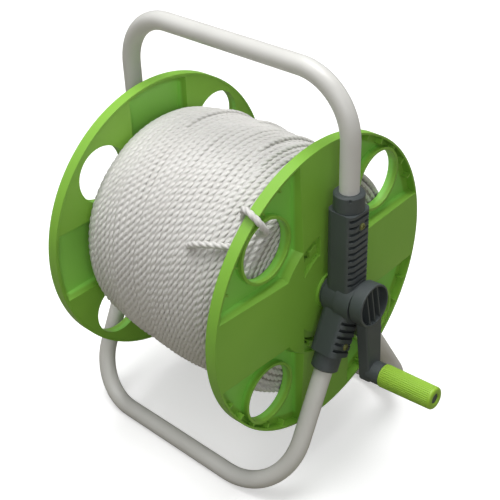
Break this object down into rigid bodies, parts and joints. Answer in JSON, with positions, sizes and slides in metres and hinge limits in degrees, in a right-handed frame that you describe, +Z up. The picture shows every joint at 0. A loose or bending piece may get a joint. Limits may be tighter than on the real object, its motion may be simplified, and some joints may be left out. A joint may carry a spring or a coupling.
{
  "type": "hand-cranked line reel",
  "caption": "Free-standing line reel: a spoked drum of twisted line turned by a side crank, held by grey brackets on bent white tubes with a carry handle.",
  "frame": {"origin": "middle of the footprint box in X and Y, on the floor", "axes": "+X along the drum axis towards the crank, +Z up through the carry handle, +Y towards the rear foot"},
  "size_m": [0.4209, 0.315, 0.454],
  "materials": {
    "white_tube": "satin powder coat",
    "green_plastic": "semi gloss moulded",
    "lime_plastic": "satin moulded",
    "grey_plastic": "satin moulded",
    "screw_steel": "yellow zinc",
    "clip_steel": "spring steel",
    "nylon": "plain",
    "line_fibre": "twisted polypropylene"
  },
  "bodies": {
    "stand": {"carry_handle_tube": "white_tube", "front_foot_tube": "white_tube", "rear_foot_tube": "white_tube", "crank_side_bracket": "grey_plastic", "far_side_bracket": "grey_plastic", "crank_side_socket_collars": "grey_plastic", "far_side_socket_collars": "grey_plastic", "crank_side_tube_screws": "screw_steel", "far_side_tube_screws": "screw_steel"},
    "drum": {"crank_side_flange": "green_plastic", "far_side_flange": "green_plastic", "barrel_upper_half": "green_plastic", "barrel_lower_half": "green_plastic", "crank_arm": "grey_plastic", "far_axle_cap": "grey_plastic", "crank_side_thrust_washer": "nylon", "far_side_thrust_washer": "nylon", "crank_side_shaft_clip": "clip_steel", "far_side_shaft_clip": "clip_steel", "wound_line": "line_fibre", "line_tail": "line_fibre", "line_inner_end": "line_fibre"},
    "grip": {"crank_grip": "lime_plastic"}
  },
  "joints": [
    {"name": "drum_spin", "type": "hinge", "parent": "stand", "child": "drum", "pos_m": [-0.0423, 0, 0.2185], "axis": [1, 0, 0], "continuous": true},
    {"name": "grip_spin", "type": "hinge", "parent": "drum", "child": "grip", "pos_m": [0.17997, 0, 0.14667], "axis": [0.9982, 0, 0.0593], "continuous": true}
  ]
}
